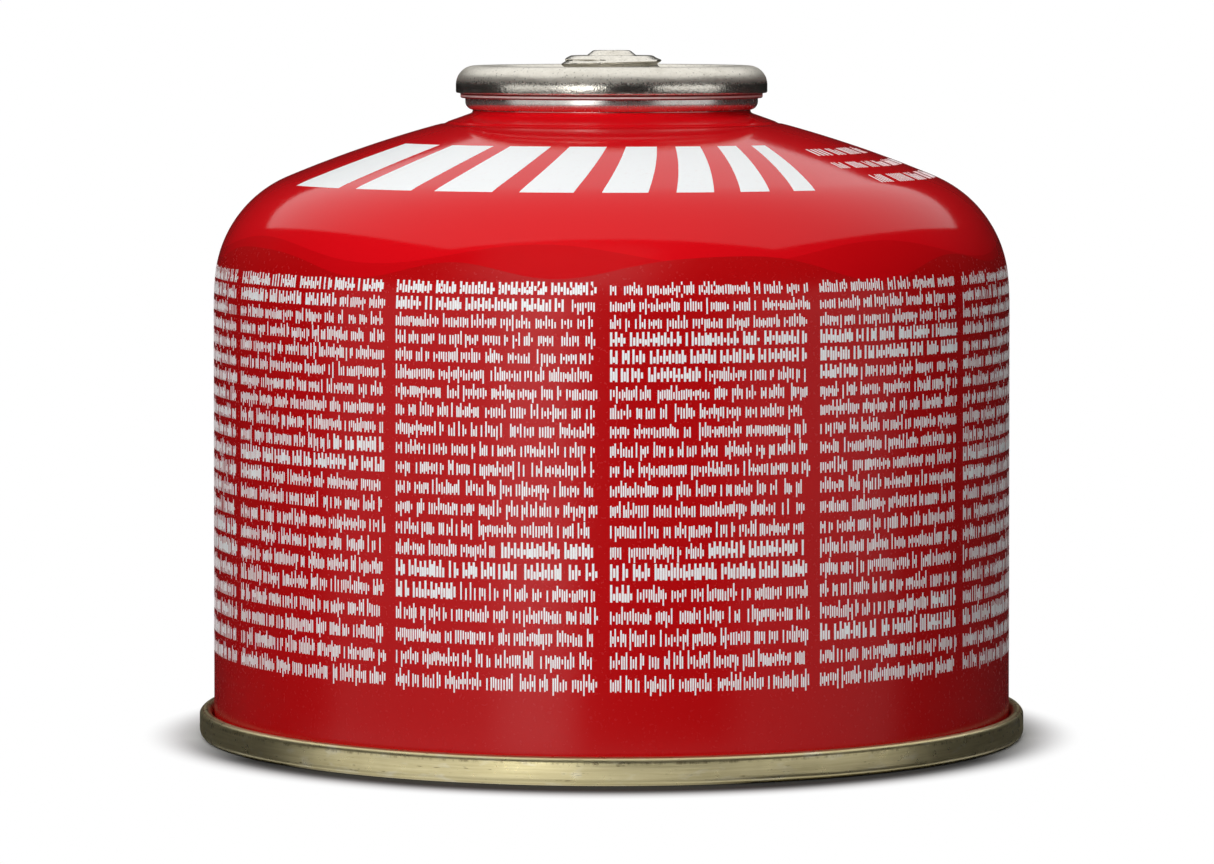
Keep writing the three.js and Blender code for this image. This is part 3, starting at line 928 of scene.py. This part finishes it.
strokes = []
for column, (gap_left, gap_right) in enumerate(zip(gap_middles[:-1], gap_middles[1:])):
    left = gap_left + COLUMN_GAP / 2
    column_width = (gap_right - gap_left - COLUMN_GAP) / degrees
    spans = (BOLD[(3 * column) % 5], BOLD[(3 * column + 2) % 5])
    for row, foot in enumerate(row_foot):
        row_height = row_gap[min(row, ROWS - 2)]
        at, end = 0.0, column_width
        if row == ROWS - 1 and column in SHORT_LAST_LINE:
            end *= SHORTENED_TO
        while at < end - 0.3:
            cells = int(rng.integers(2, 12))
            bold = any(first <= row + at / BOLD_RUN < last for first, last in spans)
            for _ in range(cells):
                cell = rng.uniform(CELL_LOW, CELL_HIGH) * (BOLD_CELL if bold else 1.0)
                if at + cell > end:
                    at = end
                    break
                for offset, width, low, high in cell_strokes(cell, row_height, bold):
                    a0 = left + (at + offset) * degrees
                    a1 = a0 + width * degrees
                    strokes.append([(a0, foot + low), (a1, foot + low), (a1, foot + high), (a0, foot + high)])
                at += cell
            at += WORD_GAP
for name, part in zip(("small_print_a", "small_print_b", "small_print_c"), np.array_split(np.array(strokes), 3)):
    piece = film(name, part, 1, 1)
    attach(piece, "root")
print("strokes", len(strokes))

# %% [markdown]
# ### Shoulder bars
#
# On the shoulder a row of slanting white bars gets narrower towards the right. They could be projected onto the
# body with a modifier, but as patches along its outside they follow it exactly. They bend over two curves at once,
# so each bar is cut into many small faces.

# %% Shoulder bars
BAR_WIDTHS = (15.0, 12.5, 10.5, 9.0, 7.5, 6.3, 5.2, 4.2)  # degrees
BAR_START, BAR_GAP, BAR_SLANT = -67.0, 4.6, 5.0
BAR_RADII = [36.4, 24.9]

low_edge, high_edge = np.interp(BAR_RADII, side[::-1, 0], run[::-1])
bars = []
at = BAR_START
for width in BAR_WIDTHS:
    low_corners = [(at, low_edge), (at + width, low_edge)]
    high_corners = [(at + width + BAR_SLANT, high_edge), (at + BAR_SLANT, high_edge)]
    bars.append(low_corners + high_corners)
    at += width + BAR_GAP
shoulder_bars = film("shoulder_bars", bars, 12, 14)
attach(shoulder_bars, "root")
print("shoulder bars", len(bars))

# %% [markdown]
# ### Shoulder lines
#
# Three short lines of print follow the bars, drawn as upright strokes too. They could come out of the small
# print's loop, but these strokes are larger and each line has its own ends. They draw on the same random numbers as
# the small print, so this step has to come after it.

# %% Shoulder lines
# High radius, low radius, first angle, last angle, stroke width.
SHOULDER_LINES = ((26.4, 28.2, 51, 75, 0.32), (30.1, 31.6, 50, 84, 0.2), (33.4, 35.2, 54, 80, 0.24))
DEGREES_IN_RADIAN, LINE_WORD_GAP = 57.3, 1.6

lines = []
for high_r, low_r, first, last, wide in SHOULDER_LINES:
    foot, top = np.interp([low_r, high_r], side[::-1, 0], run[::-1])
    a = float(first)
    while a < last:
        for _ in range(int(rng.integers(3, 8))):
            w = wide / low_r * DEGREES_IN_RADIAN
            head = top if rng.random() < 0.7 else foot + 0.75 * (top - foot)
            lines.append([(a, foot), (a + w, foot), (a + w, head), (a, head)])
            a += w * rng.uniform(2.0, 2.7)
        a += LINE_WORD_GAP
shoulder_lines = film("shoulder_lines", lines, 1, 2)
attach(shoulder_lines, "root")
print("shoulder strokes", len(lines))

# %% [markdown]
# ## Floor
#
# The canister stands on an even white ground with a small soft shadow. A shadow catcher could give that, but it
# leaves a hole that has to be filled after the render. Here the floor near the canister is a real surface that
# takes the shadow. It is mid grey, so where it fades into the white it makes a grey halo round the base, partly
# real shadow and partly painted shade, and just in front of the seam a painted contact shadow darkens it further.
# Further out it turns into plain white light, so that no edge shows. What the lacquer and the gold mirror is
# another
# matter: there the floor is dim and shiny, with a glowing white card in front of the seam that paints a bright
# reflection into the gold, and the light that it throws back is that of a grey table.

# %% Floor
FRONT_SQUEEZE = 0.94
FADE_FROM, FADE_TO = 0.0445, 0.0515

nodes = Nodes("floor")
x, y, z = nodes.xyz()
radius = nodes.distance(x, nodes.times(y, FRONT_SQUEEZE))
seen = nodes.add("ShaderNodeLightPath", output="Is Camera Ray")
mirrored = nodes.add("ShaderNodeLightPath", output="Is Glossy Ray")
# Painted contact shadow: the floor's colour goes nearly black just in front of the seam.
painted_contact_shadow = nodes.times(nodes.ramp(radius, 0.0500, 0.0462), nodes.ramp(y, -0.006, -0.024))
# Mid grey near the canister with the painted contact shadow over it: painted shade on top of the real shadow.
shade = nodes.mix(painted_contact_shadow, rgb(0.5, 0.5, 0.5), rgb(0.03, 0.03, 0.03))
nodes.finish(Base_Color=nodes.mix(seen, rgb(0.2, 0.2, 0.2), shade), Roughness=0.8)
glow = nodes.add("ShaderNodeEmission", {"Color": rgb(1, 1, 1), "Strength": seen})
# Where the grey surface fades into the white glow it leaves a painted grey halo round the base.
fade = nodes.times(nodes.ramp(radius, FADE_FROM, FADE_TO, kind="SMOOTHSTEP"), seen)
ground = nodes.add("ShaderNodeMixShader", {0: fade, 1: nodes.shader.outputs[0], 2: glow})

# A patch of the floor glows white and is seen only in reflections: a painted reflection that brightens the front of
# the gold seam.
slant = nodes.math("MULTIPLY_ADD", x, 0.28, y)
glowing_card = nodes.times(nodes.ramp(slant, -0.038, -0.052), nodes.ramp(radius, 0.067, 0.061))
shine = nodes.add("ShaderNodeBsdfGlossy", {"Color": rgb(0.7, 0.7, 0.7), "Roughness": 0.12})
white = nodes.add("ShaderNodeEmission", {"Color": rgb(1, 1, 1), "Strength": 1.05})
shine = nodes.add("ShaderNodeMixShader", {0: glowing_card, 1: shine, 2: white})
surface = nodes.add("ShaderNodeMixShader", {0: mirrored, 1: ground, 2: shine})
nodes.tree.links.new(surface, nodes.tree.nodes["Material Output"].inputs["Surface"])
bpy.ops.mesh.primitive_plane_add(size=60)
floor = bpy.context.object
floor.name = "floor"
floor.data.materials.append(nodes.material)
print("floor ready")

# %% [markdown]
# ## Lights
#
# In a studio one lamp gives both the brightness and the reflection. Here they are parted, so that each can be
# set by itself: five sheets are seen only in reflections and make the bands on the lacquer and the strips in the
# cup's skirt, and four lamps light the surfaces and are left out of reflections.

# %% Lights
AIM_Z = 0.04


def softbox(name, azimuth, elevation, width, height, glow):
    """An area light a metre from the canister and facing it. Azimuth 0 is in front and grows to the right.

    `glow` is the sheet's own brightness, where 1 is white: its power is pi times the area times the glow.
    """
    light = bpy.data.lights.new(name, "AREA")
    light.shape = "RECTANGLE"
    light.size, light.size_y = width, height
    light.energy = math.pi * width * height * glow
    lamp = bpy.data.objects.new(name, light)
    a, e = math.radians(azimuth), math.radians(elevation)
    back = Vector((math.sin(a) * math.cos(e), -math.cos(a) * math.cos(e), math.sin(e)))
    lamp.location = Vector((0, 0, AIM_Z)) + back
    lamp.rotation_mode = "QUATERNION"
    lamp.rotation_quaternion = (-back).to_track_quat("-Z", "Y")
    bpy.context.collection.objects.link(lamp)
    return lamp


for name, azimuth, elevation, width, height, glow in (
    ("front_left", -27.5, 0, 0.64, 0.32, 1.0),
    ("front_left_middle", -21, 0, 0.36, 0.32, 1.9),
    ("left", -65, 0, 0.73, 0.32, 0.8),
    ("right", 60, 0, 0.97, 0.32, 0.85),
    ("top", 180, 74, 2.3, 2.1, 1.0),
):
    softbox(name, azimuth, elevation, width, height, glow).visible_diffuse = False

LAMP_SIZE = 0.8
for name, azimuth, elevation, glow in (
    ("key", -15, 35, 5.5),
    ("fill", 50, 25, 0.05),
    ("rear_left", -145, 35, 1.6),
    ("rear_right", 145, 35, 1.6),
):
    softbox(name, azimuth, elevation, LAMP_SIZE, LAMP_SIZE, glow).visible_glossy = False

# %% [markdown]
# ## World
#
# The background is white for the camera. It could be white all round, but the metal in the photograph mirrors a
# dark room between the lit sheets. So rays that come off a shiny surface, or through a clear one, find the room
# almost black, and the others find it a little lighter.

# %% World
ROOM_LIGHT, ROOM_IN_MIRRORS = 0.02, 0.01

world = bpy.data.worlds.new("studio")
world.use_nodes = True
bpy.context.scene.world = world
tree = world.node_tree
path = tree.nodes.new("ShaderNodeLightPath")
either = tree.nodes.new("ShaderNodeMath")
either.operation = "MAXIMUM"
room = tree.nodes.new("ShaderNodeMapRange")
room.inputs["To Min"].default_value = ROOM_LIGHT
room.inputs["To Max"].default_value = ROOM_IN_MIRRORS
strength = tree.nodes.new("ShaderNodeMix")
strength.data_type = "FLOAT"
strength.inputs["B"].default_value = 1.0
background = tree.nodes["Background"]
background.inputs["Color"].default_value = (1, 1, 1, 1)
for source, target in (
    (path.outputs["Is Glossy Ray"], either.inputs[0]),
    (path.outputs["Is Transmission Ray"], either.inputs[1]),
    (either.outputs[0], room.inputs["Value"]),
    (path.outputs["Is Camera Ray"], strength.inputs["Factor"]),
    (room.outputs["Result"], strength.inputs["A"]),
    (strength.outputs["Result"], background.inputs["Strength"]),
):
    tree.links.new(source, target)
bpy.context.scene.view_settings.view_transform = "Standard"
print("world ready")
